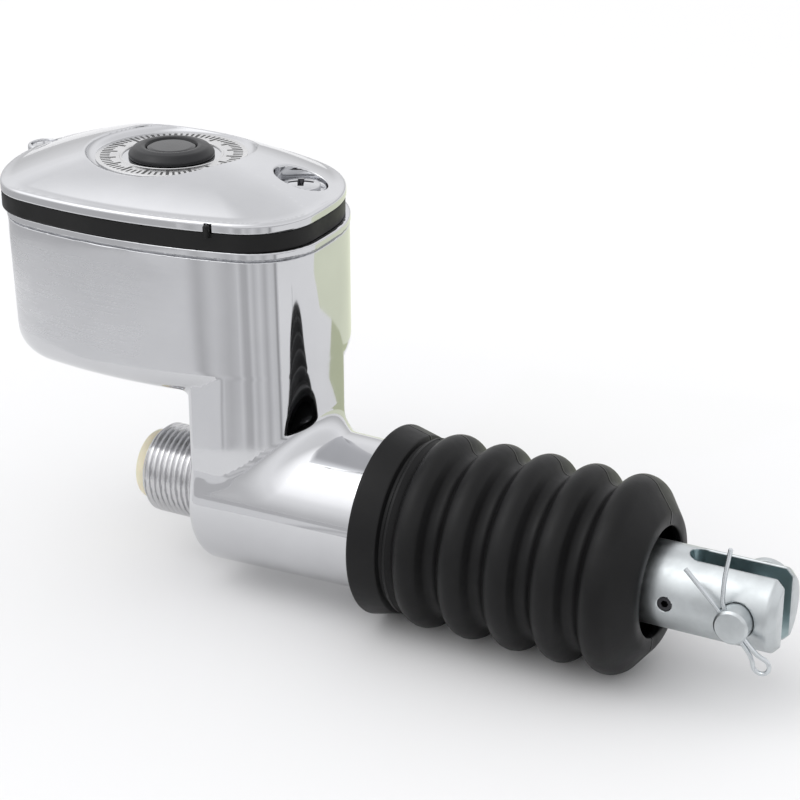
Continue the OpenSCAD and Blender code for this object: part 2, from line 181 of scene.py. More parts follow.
def lathe(name, profile, segments=128, axis="x", centre=(0, 0, 0), sharp_angle=32):
    """A body of revolution from a closed profile of (distance along the axis, radius)."""
    profile = np.array(profile, float)
    angle = np.arange(segments) / segments * 2 * math.pi
    along = np.repeat(profile[:, 0], segments)
    side = (profile[:, 1][:, None] * np.cos(angle)).ravel()
    up = (profile[:, 1][:, None] * np.sin(angle)).ravel()
    order = {"x": (along, side, up), "y": (up, along, side), "z": (side, up, along)}[axis]
    points = np.stack(order, axis=1) + np.array(centre, float)
    rows, faces = len(profile), []
    for i in range(rows):
        j = (i + 1) % rows
        if max(profile[i, 1], profile[j, 1]) < 1e-6:
            continue
        for k in range(segments):
            m = (k + 1) % segments
            quad = [i * segments + k, i * segments + m, j * segments + m, j * segments + k]
            if profile[i, 1] < 1e-6:
                quad = [quad[0], quad[2], quad[3]]
            elif profile[j, 1] < 1e-6:
                quad = quad[:3]
            faces.append(quad)
    on_axis = {}
    for i in range(rows):
        if profile[i, 1] < 1e-6:
            on_axis.update({i * segments + k: i * segments for k in range(segments)})
    faces = [[on_axis.get(v, v) for v in f] for f in faces]
    used = sorted({v for f in faces for v in f})
    renumber = {v: n for n, v in enumerate(used)}
    faces = [[renumber[v] for v in f] for f in faces]
    area = sum(
        (profile[(i + 1) % rows, 0] - profile[i, 0]) * (profile[(i + 1) % rows, 1] + profile[i, 1])
        for i in range(rows)
    )
    if area > 0:
        faces = [f[::-1] for f in faces]
    return add_mesh(name, points[used], faces, sharp_angle=sharp_angle)


def rounded(profile, radius, arc_steps=5):
    """A closed profile with each corner rounded; radius is one number or one per corner."""
    profile = [np.array(p, float) for p in profile]
    radii = radius if hasattr(radius, "__len__") else [radius] * len(profile)
    out = []
    for i, p in enumerate(profile):
        a, b = profile[i - 1] - p, profile[(i + 1) % len(profile)] - p
        la, lb = np.linalg.norm(a), np.linalg.norm(b)
        if radii[i] <= 0 or p[1] < 1e-6 or min(la, lb) < 1e-6:
            out.append(p)
            continue
        a, b = a / la, b / lb
        half = math.acos(np.clip(a @ b, -1, 1)) / 2
        if half > 1.5:
            out.append(p)
            continue
        back = min(radii[i] / math.tan(half), 0.45 * la, 0.45 * lb)
        start, end = p + a * back, p + b * back
        for k in range(arc_steps + 1):
            t = k / arc_steps
            out.append((1 - t) ** 2 * start + 2 * t * (1 - t) * p + t * t * end)
    return out


def sweep(name, path, radius, sides=12, ends=True):
    """A round wire along a path of points."""
    path = np.array(path, float)
    tangent = np.gradient(path, axis=0)
    tangent /= np.linalg.norm(tangent, axis=1, keepdims=True)
    across = np.cross(tangent[0], [0.3, 0.5, 0.81])
    points = []
    for p, t in zip(path, tangent):
        across = across - (across @ t) * t
        across /= np.linalg.norm(across)
        other = np.cross(t, across)
        for k in range(sides):
            a = 2 * math.pi * k / sides
            points.append(p + radius * (math.cos(a) * across + math.sin(a) * other))
    faces = []
    for i in range(len(path) - 1):
        for k in range(sides):
            m = (k + 1) % sides
            faces.append([i * sides + k, i * sides + m, (i + 1) * sides + m, (i + 1) * sides + k])
    if ends:
        faces.append(list(range(sides))[::-1])
        faces.append([(len(path) - 1) * sides + k for k in range(sides)])
    return add_mesh(name, points, faces, sharp_angle=50)


# ---------------------------------------------------------------- distance fields
def join(a, b, r):
    """Union of two fields with a concave fillet of radius r."""
    fillet = np.hypot(np.maximum(r - a, 0), np.maximum(r - b, 0))
    return np.maximum(r, np.minimum(a, b)) - fillet


def cut(a, b, r):
    """What two fields share, with an edge of radius r."""
    edge = np.hypot(np.maximum(r + a, 0), np.maximum(r + b, 0))
    return np.minimum(-r, np.maximum(a, b)) + edge


def ramp(t):
    """A smooth step from 0 to 1."""
    t = np.clip(t, 0, 1)
    return t * t * (3 - 2 * t)


# Plan outline of reservoir and cover: each tangent arc runs up to the direction of
# its outward normal, in degrees, with this radius.
PLAN_START = np.array([25.9, -0.3])
PLAN_ARCS = (
    (5, 114), (65, 30), (105, 83.5), (150, 10.9),
    (215, 42.9), (260, 17.4), (285, 128), (360, 17),
)


def outline_arcs():
    arcs, p, start = [], PLAN_START, 0.0
    for end, radius in PLAN_ARCS:
        ray = np.array([math.cos(math.radians(start)), math.sin(math.radians(start))])
        centre = p - radius * ray
        arcs.append((centre, radius, start, end))
        p = centre + radius * np.array([math.cos(math.radians(end)), math.sin(math.radians(end))])
        start = end
    return arcs


OUTLINE = outline_arcs()


def plan_distance(x, y):
    """Distance outside the plan outline, negative inside."""
    best = np.full(np.broadcast(x, y).shape, -40.0)
    for centre, radius, start, end in OUTLINE:
        dx, dy = x - centre[0], y - centre[1]
        angle = np.degrees(np.arctan2(dy, dx)) % 360
        here = np.hypot(dx, dy) - radius
        best = np.where((angle >= start) & (angle <= end) & (here > best), here, best)
    return best


PLAN_CENTRE = np.array([-18.0, 11.0])
CROWN_INSET = 1.6


def outline_reach():
    """Reach of the crown's foot from the plan's centre, per direction."""
    ring = []
    for centre, radius, start, end in OUTLINE:
        a = np.radians(np.arange(start, end, 0.25))
        ring.append(centre + (radius - CROWN_INSET) * np.stack([np.cos(a), np.sin(a)], axis=1))
    ring = np.concatenate(ring) - PLAN_CENTRE
    angle = np.arctan2(ring[:, 1], ring[:, 0])
    order = np.argsort(angle)
    return angle[order], np.hypot(ring[:, 0], ring[:, 1])[order]


REACH_ANGLE, REACH = outline_reach()


def crown_share(x, y, inset=0.0):
    """0 at the plan's centre and 1 at the crown's foot, and the reach in that direction."""
    dx, dy = x - PLAN_CENTRE[0], y - PLAN_CENTRE[1]
    reach = np.interp(np.arctan2(dy, dx), REACH_ANGLE, REACH, period=2 * math.pi) - inset
    return np.hypot(dx, dy) / reach, reach


TANK_TOP, TANK_BOTTOM = 65.3, 27.6
GASKET_TOP, SKIRT_TOP = 69.6, 72.1
CROWN_HEIGHT = 8.2
POCKET_AT, POCKET_R, POCKET_Z = (-19.4, 10.6), 18.2, 76.1
SCREW_AT, EAR_AT = (14.6, 13.0), (-61.5, 17.0)
EAR_TOP = 71.6
BARREL_LENGTH, BARREL_R, BARREL_TAPER = 57.0, 18.8, 1.4
CARTRIDGE_BORE_R, STUD_HOLE_R = 13.05, 10.55
SCREW_HOLE_R, EAR_HOLE_R = 2.45, 1.55
NOTCH_X = 7.9


def around(x, y, at):
    """Distance from an upright axis."""
    return np.hypot(x - at[0], y - at[1])


def ear_distance(x, y):
    """Distance from the line that runs from the ear's screw towards the reservoir."""
    return np.hypot(x - np.clip(x, EAR_AT[0], EAR_AT[0] + 6), y - EAR_AT[1])


def casting_field(x, y, z):
    """Reservoir, pillar and barrel as one casting with its fillets and cavities."""
    depth = np.clip((TANK_TOP - z) / (TANK_TOP - TANK_BOTTOM), -0.1, 1)
    foot = plan_distance(x - 1 - 0.7 * depth, y - 0.3) + 0.3 + 0.5 * depth
    groove = np.exp(-(((z - 63.35) / 0.26) ** 4))
    lip = ramp((z - 63.3) / 0.5)
    wall = foot - 0.2 * lip + 0.75 * groove
    tank = cut(cut(wall, TANK_BOTTOM - z, 8.0), z - TANK_TOP, 0.35)
    ear = ear_distance(x, y) - 4.0
    ear = cut(cut(ear, z - TANK_TOP, 0.35), TANK_TOP - 12 - z, 3.0)
    tank = join(tank, ear, 1.5)
    post = cut(cut(foot, y - 17.1, 6.0), -17.1 - y, 0.5)
    post = cut(post, 0.02 - x, 2.6)
    post = np.maximum(np.maximum(post, z - TANK_BOTTOM - 8), -z)
    across = np.hypot(y, z)
    barrel = cut(across - BARREL_R + BARREL_TAPER * x / BARREL_LENGTH, -x, 3.0)
    barrel = np.maximum(barrel, x - BARREL_LENGTH)
    fillet = 1.2 + 4.0 * ramp((x - 9) / 19)
    under = 0.02 + 2.6 * ramp(-(foot + 0.8) / 4)
    body = join(join(post, barrel, fillet), tank, under)
    room = np.maximum(plan_distance(x - 1.35, y - 0.3) + 4.3, TANK_BOTTOM + 4 - z)
    room = np.maximum(room, 6 - around(x, y, SCREW_AT))
    body = np.maximum(body, -room)
    for at, r, low in ((SCREW_AT, SCREW_HOLE_R, 50), (EAR_AT, EAR_HOLE_R, 57)):
        body = np.maximum(body, -np.maximum(around(x, y, at) - r, low - z))
    bore = np.minimum(across - STUD_HOLE_R, np.maximum(across - CARTRIDGE_BORE_R, 3 - x))
    return np.maximum(body, -bore)


def cover_field(x, y, z):
    """The domed cover with its pocket, recesses, ear and notch."""
    plan = plan_distance(x, y)
    skirt = cut(cut(plan, z - SKIRT_TOP, 0.9), GASKET_TOP - z, 0.45)
    share, reach = crown_share(x, y)
    slope = 2 * CROWN_HEIGHT * share / reach
    dome = (z - SKIRT_TOP - CROWN_HEIGHT * (1 - share**2)) / np.sqrt(1 + slope**2)
    dome = np.maximum(np.maximum(dome, GASKET_TOP + 0.5 - z), plan + 1.45)
    ear = ear_distance(x, y) - 4.2
    ear = cut(cut(ear, z - EAR_TOP, 0.8), GASKET_TOP - z, 0.4)
    body = join(join(skirt, dome, 0.6), ear, 0.8)
    out = np.maximum(around(x, y, POCKET_AT) - POCKET_R, 0)
    pocket = np.hypot(out, np.minimum(z - POCKET_Z - 2, 0)) - 2.0
    pocket = np.where(out > 0, pocket, np.maximum(pocket, POCKET_Z - z))
    body = cut(body, -pocket, 0.35)
    recess = cut(around(x, y, SCREW_AT) - 6.2, SKIRT_TOP - z, 0.6)
    body = cut(body, -recess, 0.45)
    ear_recess = np.maximum(around(x, y, EAR_AT) - 3.25, EAR_TOP - 1 - z)
    body = cut(body, -ear_recess, 0.2)
    inner_share, _ = crown_share(x, y, 6.4)
    hollow = np.maximum(z - GASKET_TOP - 4.2 * (1 - inner_share**2), 7 - around(x, y, SCREW_AT))
    body = np.maximum(body, -hollow)
    for at, r in ((POCKET_AT, 6.1), (SCREW_AT, SCREW_HOLE_R), (EAR_AT, EAR_HOLE_R)):
        body = np.maximum(body, r - around(x, y, at))
    notch = np.maximum(np.abs(x - NOTCH_X - 0.65) - 0.7, np.maximum(z - 71.6, y + 17.5))
    return cut(body, -notch, 0.15)


def gasket_field(x, y, z):
    """The rubber band between reservoir and cover, with its diaphragm and tab."""
    plan = plan_distance(x, y)
    band = cut(cut(plan + 0.25, z - GASKET_TOP, 0.35), TANK_TOP - z, 0.35)
    band = np.maximum(band, -(plan + 9))
    cup = np.maximum(np.maximum(plan + 8, z - GASKET_TOP), 54 - z)
    cup = np.maximum(cup, -np.maximum(plan + 9.6, 55.6 - z))
    boss = around(x, y, SCREW_AT)
    cup = np.maximum(cup, 6.2 - boss)
    body = np.minimum(band, cup)
    body = np.minimum(body, np.maximum(np.maximum(boss - 6, z - GASKET_TOP), TANK_TOP - z))
    ear = ear_distance(x, y) - 4.0
    body = np.minimum(body, cut(cut(ear, z - GASKET_TOP, 0.3), TANK_TOP - z, 0.3))
    tab = np.maximum(np.abs(x - NOTCH_X - 0.65) - 0.68, np.abs(y + 18.25) - 0.75)
    tab = cut(tab, z - GASKET_TOP - 1.97, 0.1)
    body = np.minimum(body, np.maximum(tab, GASKET_TOP - 1 - z))
    body = np.maximum(body, SCREW_HOLE_R - boss)
    return np.maximum(body, EAR_HOLE_R - around(x, y, EAR_AT))


CLEVIS_R, CLEVIS_BACK, CLEVIS_END = 9.53, 98.0, 142.0
PIN_X, SLOT_START, SLOT_HALF, PIN_HEAD = 133.6, 122.4, 3.0, 5.95
HOLE_R = 4.05


def clevis_field(x, y, z):
    """The round clevis with its slot, holes and chamfers."""
    across = np.hypot(y, z)
    bar = cut(across - CLEVIS_R, x - CLEVIS_END, 0.2)
    bar = cut(bar, (across - CLEVIS_R + x - CLEVIS_END + 1.7) * 0.707, 0.3)
    bar = cut(bar, (across - CLEVIS_R - x + CLEVIS_BACK + 1.0) * 0.707, 0.3)
    bar = np.maximum(bar, CLEVIS_BACK - x)
    slot = np.where(x > SLOT_START, np.abs(y), np.hypot(x - SLOT_START, y)) - SLOT_HALF
    bar = cut(bar, -slot, 0.35)
    bar = np.maximum(bar, -np.maximum(across - HOLE_R, x - SLOT_START))
    hole = np.hypot(x - PIN_X, z)
    bar = cut(bar, HOLE_R - hole, 0.35)
    bar = cut(bar, -np.maximum(np.hypot(x - 117.3, z) - 1.62, y), 0.2)
    ring = np.maximum(np.abs(x - 105.6) - 0.65, 8.73 - across)
    return np.maximum(bar, -ring)


def screw_field(at, seat, bottom, shank_r, head_r, head_h):
    """A screw with a domed head and a cross recess."""

    def field(x, y, z):
        r = around(x, y, at)
        shank = np.maximum(np.maximum(r - shank_r, z - seat - 0.3), bottom - z)
        dome = np.sqrt(r**2 + (z - seat - head_h + 3.2 * head_r) ** 2) - 3.2 * head_r
        head = cut(cut(r - head_r, dome, 0.35), seat - z, 0.2)
        turn = math.radians(28)
        u = (x - at[0]) * math.cos(turn) + (y - at[1]) * math.sin(turn)
        v = (y - at[1]) * math.cos(turn) - (x - at[0]) * math.sin(turn)
        deep = (z - seat - head_h) * 0.35
        arm = np.minimum(
            np.maximum(np.abs(u) - 0.66 * head_r, np.abs(v) - 0.17 * head_r),
            np.maximum(np.abs(v) - 0.66 * head_r, np.abs(u) - 0.17 * head_r),
        )
        recess = np.maximum(arm - deep, seat + 0.1 * head_h - z)
        return cut(np.minimum(shank, head), -recess, 0.12)

    return field


# ---------------------------------------------------------------- materials
def shader(name, base, metallic, roughness, **sockets):
    """A new material; returns it with its node tree and shader."""
    made = bpy.data.materials.new(name)
    made.use_nodes = True
    tree = made.node_tree
    bsdf = tree.nodes["Principled BSDF"]
    bsdf.inputs["Base Color"].default_value = (*base, 1)
    bsdf.inputs["Metallic"].default_value = metallic
    bsdf.inputs["Roughness"].default_value = roughness
    for socket, value in sockets.items():
        bsdf.inputs[socket.replace("_", " ")].default_value = value
    return made, tree, bsdf


def noise(tree, scale, detail=4.0, roughness=0.5, stretch=(1, 1, 1)):
    """Noise over the piece's own coordinates, stretched by a factor per axis."""
    source = tree.nodes.new("ShaderNodeTexCoord")
    size = tree.nodes.new("ShaderNodeMapping")
    size.inputs["Scale"].default_value = stretch
    made = tree.nodes.new("ShaderNodeTexNoise")
    made.inputs["Scale"].default_value = scale
    made.inputs["Detail"].default_value = detail
    made.inputs["Roughness"].default_value = roughness
    tree.links.new(source.outputs["Object"], size.inputs["Vector"])
    tree.links.new(size.outputs["Vector"], made.inputs["Vector"])
    return made.outputs["Fac"]


def remap(tree, value, low, high, start=0.3, end=0.7):
    """A value moved from the range start..end to low..high."""
    made = tree.nodes.new("ShaderNodeMapRange")
    made.inputs["From Min"].default_value = start
    made.inputs["From Max"].default_value = end
    made.inputs["To Min"].default_value = low
    made.inputs["To Max"].default_value = high
    tree.links.new(value, made.inputs["Value"])
    return made.outputs["Result"]


def tint(tree, value, dark, light):
    """A colour between dark and light."""
    made = tree.nodes.new("ShaderNodeMix")
    made.data_type = "RGBA"
    made.inputs["A"].default_value = (*dark, 1)
    made.inputs["B"].default_value = (*light, 1)
    tree.links.new(value, made.inputs["Factor"])
    return made.outputs["Result"]


def bump(tree, bsdf, height, distance, strength=1.0, below=None):
    """Adds surface relief; distance is in millimetres."""
    made = tree.nodes.new("ShaderNodeBump")
    made.inputs["Distance"].default_value = distance * MM
    made.inputs["Strength"].default_value = strength
    tree.links.new(height, made.inputs["Height"])
    if below is not None:
        tree.links.new(below, made.inputs["Normal"])
    tree.links.new(made.outputs["Normal"], bsdf.inputs["Normal"])
    return made.outputs["Normal"]


def combine(tree, operation, a, b):
    """A math node on two values, each a number or a socket."""
    made = tree.nodes.new("ShaderNodeMath")
    made.operation = operation
    for k, value in enumerate((a, b)):
        if isinstance(value, (int, float)):
            made.inputs[k].default_value = value
        else:
            tree.links.new(value, made.inputs[k])
    return made.outputs["Value"]


def axis_value(tree, axis):
    """The piece's own X, Y or Z, in metres."""
    source = tree.nodes.new("ShaderNodeTexCoord")
    parts = tree.nodes.new("ShaderNodeSeparateXYZ")
    tree.links.new(source.outputs["Object"], parts.inputs["Vector"])
    return parts.outputs[axis]


def along_direction(tree, source, azimuth, elevation):
    """How far a position or direction goes towards an azimuth and elevation in degrees."""
    a, e = math.radians(azimuth), math.radians(elevation)
    made = tree.nodes.new("ShaderNodeVectorMath")
    made.operation = "DOT_PRODUCT"
    made.inputs[1].default_value = (math.sin(a) * math.cos(e), -math.cos(a) * math.cos(e), math.sin(e))
    tree.links.new(source, made.inputs[0])
    return made.outputs["Value"]


def chrome(name, satin=False):
    """Polished plated casting; satin adds a hand-brushed zone on the reservoir's wall."""
    made, tree, bsdf = shader(name, (0.60, 0.605, 0.62), 1.0, 0.05)
    cloud = noise(tree, 45, 5, 0.55)
    color = tint(tree, remap(tree, cloud, 0, 1), (0.575, 0.58, 0.595), (0.625, 0.63, 0.645))
    tree.links.new(color, bsdf.inputs["Base Color"])
    rough = remap(tree, noise(tree, 110, 6, 0.6), 0.035, 0.085)
    wave = noise(tree, 38, 2, 0.4)
    ripple = bump(tree, bsdf, wave, 0.10)
    grain = noise(tree, 420, 5, 0.6, (0.22, 0.6, 3.2))
    if satin:
        low = remap(tree, axis_value(tree, "Z"), 0, 1, 0.030, 0.038)
        high = remap(tree, axis_value(tree, "Z"), 1, 0, 0.0585, 0.0625)
        left = remap(tree, axis_value(tree, "X"), 1, 0, -0.012, 0.006)
        front = remap(tree, axis_value(tree, "Y"), 1, 0, 0.0, 0.012)
        upright = combine(tree, "MULTIPLY", low, high)
        sideways = combine(tree, "MULTIPLY", left, front)
        zone = combine(tree, "MULTIPLY", upright, sideways)
        brushed = combine(tree, "MULTIPLY", zone, remap(tree, grain, 0.17, 0.29))
        rough = combine(tree, "ADD", rough, brushed)
        scratch = combine(tree, "MULTIPLY", zone, grain)
        bump(tree, bsdf, scratch, 0.0025, below=ripple)
    else:
        bump(tree, bsdf, grain, 0.0015, below=ripple)
    tree.links.new(rough, bsdf.inputs["Roughness"])
    return made


def turned_metal(name, base, roughness, pitch_scale=2200, relief=0.01, spread=0.08, dirt=0.1, slot=0):
    """Machined or plated metal with fine turning marks around the X axis.

    slot is where the clevis's slot starts, in millimetres: inside the slot the colour is a darker bluish
    tone, painted shade and a painted reflection.
    """
    made, tree, bsdf = shader(name, base, 1.0, roughness)
    cloud = noise(tree, 140, 6, 0.6)
    dark = tuple(c * (1 - dirt) for c in base)
    light = tuple(min(1, c * (1 + dirt * 0.6)) for c in base)
    color = tint(tree, remap(tree, cloud, 0, 1), dark, light)
    if slot:
        behind = combine(tree, "MAXIMUM", combine(tree, "SUBTRACT", slot * MM, axis_value(tree, "X")), 0)
        aside = combine(tree, "MULTIPLY", axis_value(tree, "Y"), axis_value(tree, "Y"))
        behind = combine(tree, "MULTIPLY", behind, behind)
        reach = combine(tree, "SQRT", combine(tree, "ADD", aside, behind), 0)
        outside = remap(tree, reach, 0, 1, 0.00297, 0.00304)
        # Painted shade and painted bluish reflection on the faces inside the clevis's slot.
        slot_shade_and_reflection = tint(tree, remap(tree, cloud, 0, 1), (0.24, 0.37, 0.37), (0.30, 0.46, 0.50))
        mixed = tint(tree, outside, dark, light)
        tree.links.new(slot_shade_and_reflection, mixed.node.inputs["A"])
        tree.links.new(color, mixed.node.inputs["B"])
        color = mixed
    tree.links.new(color, bsdf.inputs["Base Color"])
    marks = noise(tree, pitch_scale, 3, 0.5, (1, 0.02, 0.02))
    rough = remap(tree, noise(tree, 420, 5, 0.6), roughness - spread / 2, roughness + spread / 2)
    tree.links.new(rough, bsdf.inputs["Roughness"])
    rings = bump(tree, bsdf, marks, relief)
    bump(tree, bsdf, noise(tree, 900, 5, 0.6), relief * 0.8, below=rings)
    return made


def shade_recess(material):
    """Darkens the cover screw's cross recess with painted shade."""
    tree = material.node_tree
    bsdf = tree.nodes["Principled BSDF"]
    plain = bsdf.inputs["Base Color"].links[0].from_socket
    dx = combine(tree, "SUBTRACT", axis_value(tree, "X"), SCREW_AT[0] * MM)
    dy = combine(tree, "SUBTRACT", axis_value(tree, "Y"), SCREW_AT[1] * MM)
    away = combine(tree, "ADD", combine(tree, "MULTIPLY", dx, dx), combine(tree, "MULTIPLY", dy, dy))
    rim = remap(tree, away, 0, 1, 10.2e-6, 10.9e-6)
    dome = combine(tree, "ADD", axis_value(tree, "Z"), combine(tree, "MULTIPLY", away, 1 / (2 * 0.01472)))
    high = remap(tree, dome, 0, 1, 0.07396, 0.07408)
    clear = combine(tree, "MAXIMUM", rim, high)
    # Painted shade: near-black colour inside the cross recess, below the head's dome.
    mixed = tint(tree, clear, (0.05, 0.05, 0.055), (1, 1, 1))
    tree.links.new(plain, mixed.node.inputs["B"])
    tree.links.new(mixed, bsdf.inputs["Base Color"])


def rubber(name, base, roughness, relief=0.03, gloss=0.5, seam=None):
    """Moulded black rubber with a fine grain and faint bloom.

    seam is how far the parting line's plane leans from upright, in degrees.
    """
    made, tree, bsdf = shader(name, base, 0.0, roughness, Specular_IOR_Level=gloss)
    bloom = noise(tree, 55, 6, 0.6)
    dark = tuple(c * 0.75 for c in base)
    light = tuple(c * 1.6 for c in base)
    tree.links.new(tint(tree, remap(tree, bloom, 0, 1), dark, light), bsdf.inputs["Base Color"])
    rough = remap(tree, noise(tree, 180, 5, 0.6), roughness - 0.06, roughness + 0.08)
    tree.links.new(rough, bsdf.inputs["Roughness"])
    grain = bump(tree, bsdf, noise(tree, 1500, 4, 0.6), relief)
    soft = bump(tree, bsdf, noise(tree, 160, 3, 0.5), relief * 3, below=grain)
    if seam is not None:
        source = tree.nodes.new("ShaderNodeTexCoord")
        off_plane = along_direction(tree, source.outputs["Object"], 0, seam)
        wander = remap(tree, noise(tree, 320, 3, 0.6), -0.00015, 0.00015)
        gap = combine(tree, "ABSOLUTE", combine(tree, "ADD", off_plane, wander), 0)
        bump(tree, bsdf, remap(tree, gap, 1, 0, 0.0001, 0.0005), 0.35, below=soft)
    return made


def plastic(name, base, roughness, relief=0.015, **sockets):
    """Moulded plastic with slight clouds and a fine texture."""
    made, tree, bsdf = shader(name, base, 0.0, roughness, **sockets)
    cloud = noise(tree, 120, 4, 0.5)
    dark = tuple(c * 0.9 for c in base)
    light = tuple(min(1, c * 1.08) for c in base)
    tree.links.new(tint(tree, remap(tree, cloud, 0, 1), dark, light), bsdf.inputs["Base Color"])
    rough = remap(tree, noise(tree, 300, 5, 0.6), roughness - 0.04, roughness + 0.05)
    tree.links.new(rough, bsdf.inputs["Roughness"])
    bump(tree, bsdf, noise(tree, 1800, 4, 0.6), relief)
    return made


CHROME = chrome("polished_casting", satin=True)
CHROME_TRIM = chrome("polished_trim")
SCREW = turned_metal("screw_steel", (0.60, 0.605, 0.62), 0.16, 900, 0.004)
shade_recess(SCREW)
STUD = turned_metal("machined_stud", (0.61, 0.61, 0.62), 0.22, 1800, 0.02)
ZINC = turned_metal("zinc_plate", (0.55, 0.58, 0.59), 0.34, 1500, 0.010, 0.10, 0.14)
CLEVIS = turned_metal("zinc_fork", (0.55, 0.58, 0.59), 0.34, 1500, 0.010, 0.10, 0.14, SLOT_START)
WIRE = turned_metal("zinc_wire", (0.60, 0.63, 0.65), 0.22, 900, 0.008)
SPRING = turned_metal("spring_steel", (0.32, 0.32, 0.33), 0.30, 900, 0.01)
DARK_STEEL = turned_metal("black_oxide", (0.06, 0.06, 0.065), 0.38, 900, 0.01)
BRASS = turned_metal("turned_brass", (0.62, 0.45, 0.20), 0.26, 1400, 0.01)
PRINTED = turned_metal("printed_ring", (0.66, 0.66, 0.66), 0.20, 400, 0.004)
BOOT = rubber("boot_rubber", (0.005, 0.005, 0.0053), 0.42, 0.015, 0.22, 17)
SEAL = rubber("seal_rubber", (0.008, 0.008, 0.008), 0.50, 0.015, 0.22)
PRINT = rubber("print_ink", (0.02, 0.02, 0.02), 0.45, 0.002)
CREAM = plastic("cream_plastic", (0.72, 0.67, 0.50), 0.38, Subsurface_Weight=0.15)
BEZEL = plastic("bezel_plastic", (0.017, 0.0175, 0.019), 0.34, 0.006, Specular_IOR_Level=0.3)
LENS = plastic("lens_plastic", (0.018, 0.0185, 0.020), 0.16, 0.002, Specular_IOR_Level=0.35)


def place(piece, material, body, slot, *replaced):
    """Gives a piece its material and body, and hides the CAD nodes it stands for; slot is not used."""
    piece.data.materials.clear()
    piece.data.materials.append(material)
    if body:
        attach(piece, body)
    if replaced:
        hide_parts(*replaced)
    return piece


# ---------------------------------------------------------------- castings
casting = surface_net(
    "housing_casting",
    casting_field,
    steps((-66.8, -1, 0.95), (-1, 34, 0.8), (34, 58.2, 1.1)),
    steps((-23, 45, 0.95)),
    steps((-20, 26, 0.95), (26, 62, 0.95), (62, 66, 0.22)),
)
place(casting, CHROME, "housing", "polished_casting", "reservoir_body")

cover = surface_net(
    "cover_casting",
    cover_field,
    steps((-66.8, 27, 0.45)),
    steps((-22, 43.2, 0.45)),
    steps((69, 73, 0.25), (73, 81, 0.36)),
    relax=1,
)
place(cover, CHROME_TRIM, "housing", "polished_casting", "reservoir_cover")

gasket = surface_net(
    "cover_gasket_band",
    gasket_field,
    steps((-66.8, 27, 0.6)),
    steps((-22, 43.2, 0.6)),
    steps((53.4, 64.8, 0.8), (64.8, 72, 0.3)),
    relax=1,
)
place(gasket, SEAL, "housing", "seal_rubber", "cover_gasket")


# ---------------------------------------------------------------- cover screws
def cover_screw(name, at, seat, bottom, shank_r, head_r, head_h, spacing, node):
    """One of the two screws that hold the cover."""
    piece = surface_net(
        name,
        screw_field(at, seat, bottom, shank_r, head_r, head_h),
        steps((at[0] - head_r - 0.5, at[0] + head_r + 0.5, spacing)),
        steps((at[1] - head_r - 0.5, at[1] + head_r + 0.5, spacing)),
        steps((bottom - 0.5, seat - 0.5, 0.5), (seat - 0.5, seat + head_h + 0.3, 0.12)),
        relax=1,
    )
    return place(piece, SCREW, "housing", "screw_steel", node)


cover_screw("cover_screw_head", SCREW_AT, 72.1, 52, 2.4, 4.6, 2.05, 0.17, "cover_screw")
cover_screw("ear_screw_head", EAR_AT, 70.6, 58, 1.5, 3.2, 1.0, 0.16, "ear_screw")

# ---------------------------------------------------------------- sight glass
GLASS = (POCKET_AT[0], POCKET_AT[1], 0)
bezel = lathe(
    "sight_glass_dome",
    rounded(
        [(76.2, 5.92), (76.2, 10.2), (77.0, 10.2), (78.35, 8.9), (78.75, 7.2), (78.6, 6.3), (77.9, 5.92)],
        [0, 0.1, 0.9, 1.6, 1.6, 0.4, 0.2],
        10,
    ),
    axis="z",
    centre=GLASS,
)
place(bezel, BEZEL, "housing", "bezel_plastic", "sight_glass_bezel")
lens = lathe(
    "sight_glass_window",
    rounded(
        [(67.1, 0), (67.1, 2.5), (70.1, 5.8), (78.2, 5.8), (78.45, 4.9), (78.5, 0)],
        [0, 0, 0, 0.25, 1.5, 0],
        6,
    ),
    axis="z",
    centre=GLASS,
)
place(lens, LENS, "housing", "lens_plastic", "sight_glass_lens")
seal = lathe(
    "sight_glass_gasket",
    rounded([(76.12, 6.15), (76.12, 9.4), (76.2, 9.4), (76.2, 6.15)], 0, 3),
    axis="z",
    centre=GLASS,
)
place(seal, SEAL, "housing", "seal_rubber", "sight_glass_seal")
ring = lathe(
    "index_ring_plate",
    rounded(
        [
            (76.12, 11.7), (76.12, 18.0), (76.4, 18.0), (76.4, 12.4),
            (76.25, 12.2), (76.25, 11.95), (76.4, 11.7),
        ],
        0.05,
        3,
    ),
    axis="z",
    centre=GLASS,
)
place(ring, PRINTED, "housing", "printed_ring", "index_ring")


def ring_ticks():
    """Plain index marks printed around the ring: a long one, then three short ones."""
    points, faces = [], []
    for k in range(72):
        a = math.radians(k * 5)
        inner, outer, half = (13.2, 16.9, 0.38) if k % 4 == 0 else (14.6, 16.9, 0.28)
        ray, side = np.array([math.cos(a), math.sin(a)]), np.array([-math.sin(a), math.cos(a)])
        first = len(points)
        for z in (76.35, 76.42):
            for r, s in ((inner, -1), (outer, -1), (outer, 1), (inner, 1)):
                at = np.array(POCKET_AT) + r * ray + s * half * side
                points.append((at[0], at[1], z))
        faces.append([first + 4, first + 5, first + 6, first + 7])
        faces.append([first + 3, first + 2, first + 1, first])
        for m in range(4):
            n = (m + 1) % 4
            faces.append([first + m, first + n, first + 4 + n, first + 4 + m])
    return add_mesh("index_ring_ticks", points, faces, sharp_angle=30)


place(ring_ticks(), PRINT, "housing", "printed_ring")


# ---------------------------------------------------------------- stud and cartridge
THREAD_PITCH, THREAD_DEPTH = 1.5, 0.6


